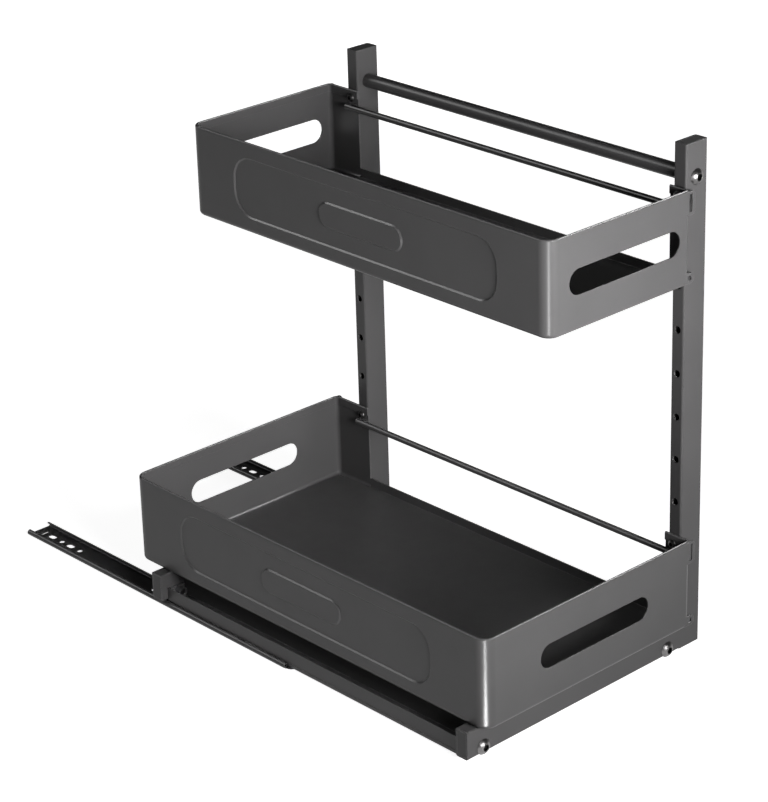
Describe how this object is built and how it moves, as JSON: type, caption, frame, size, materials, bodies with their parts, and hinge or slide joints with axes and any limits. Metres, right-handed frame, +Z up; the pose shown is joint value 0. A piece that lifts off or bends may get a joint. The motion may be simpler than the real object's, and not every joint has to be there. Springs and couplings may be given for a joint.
{
  "type": "pull out cabinet basket",
  "caption": "Tiered L-shaped pull-out cabinet organizer: sheet-steel baskets on a tubular frame that rolls on ball-bearing floor slides, drawn half extended.",
  "frame": {"origin": "on the cabinet floor, under the middle of the whole object as drawn half pulled out", "axes": "+X to the right, towards the posts; +Y into the cabinet; +Z up; the basket pulls out along -Y"},
  "size_m": [0.265, 0.5738, 0.436],
  "materials": {
    "frame_coat": "satin powder coat",
    "basket_coat": "satin powder coat",
    "black_rail": "satin black coat",
    "zinc_steel": "zinc plated",
    "polished_steel": "polished",
    "screw_steel": "blackened",
    "cap_plastic": "matte"
  },
  "bodies": {
    "cabinet_rails": {"fixed_rail_left": "black_rail", "fixed_rail_right": "black_rail"},
    "basket_carriage": {"runner_left": "black_rail", "runner_right": "black_rail", "runner_screws": "zinc_steel", "side_rail_left": "frame_coat", "side_rail_right": "frame_coat", "front_frame": "frame_coat", "rear_frame": "frame_coat", "front_post_cap": "cap_plastic", "rear_post_cap": "cap_plastic", "front_leg_cap": "cap_plastic", "rear_leg_cap": "cap_plastic", "tie_rod": "frame_coat", "tie_rod_plugs": "zinc_steel", "frame_screws": "screw_steel", "side_rail_nuts": "zinc_steel", "lower_basket": "basket_coat", "upper_basket": "basket_coat", "lower_guard_bar": "basket_coat", "upper_guard_bar": "basket_coat", "basket_screws": "screw_steel"},
    "left_ball_cage": {"ball_cage_left": "zinc_steel", "race_balls_left": "polished_steel"},
    "right_ball_cage": {"ball_cage_right": "zinc_steel", "race_balls_right": "polished_steel"}
  },
  "joints": [
    {"name": "basket_slide", "type": "slide", "parent": "cabinet_rails", "child": "basket_carriage", "axis": [0, -1, 0], "range_m": [-0.1945, 0.07]},
    {"name": "left_cage_slide", "type": "slide", "parent": "cabinet_rails", "child": "left_ball_cage", "axis": [0, -1, 0], "range_m": [-0.09725, 0.035]},
    {"name": "right_cage_slide", "type": "slide", "parent": "cabinet_rails", "child": "right_ball_cage", "axis": [0, -1, 0], "range_m": [-0.09725, 0.035]}
  ],
  "couplings": [
    {"joint": "left_cage_slide", "follows": "basket_slide", "ratio": 0.5},
    {"joint": "right_cage_slide", "follows": "basket_slide", "ratio": 0.5}
  ]
}
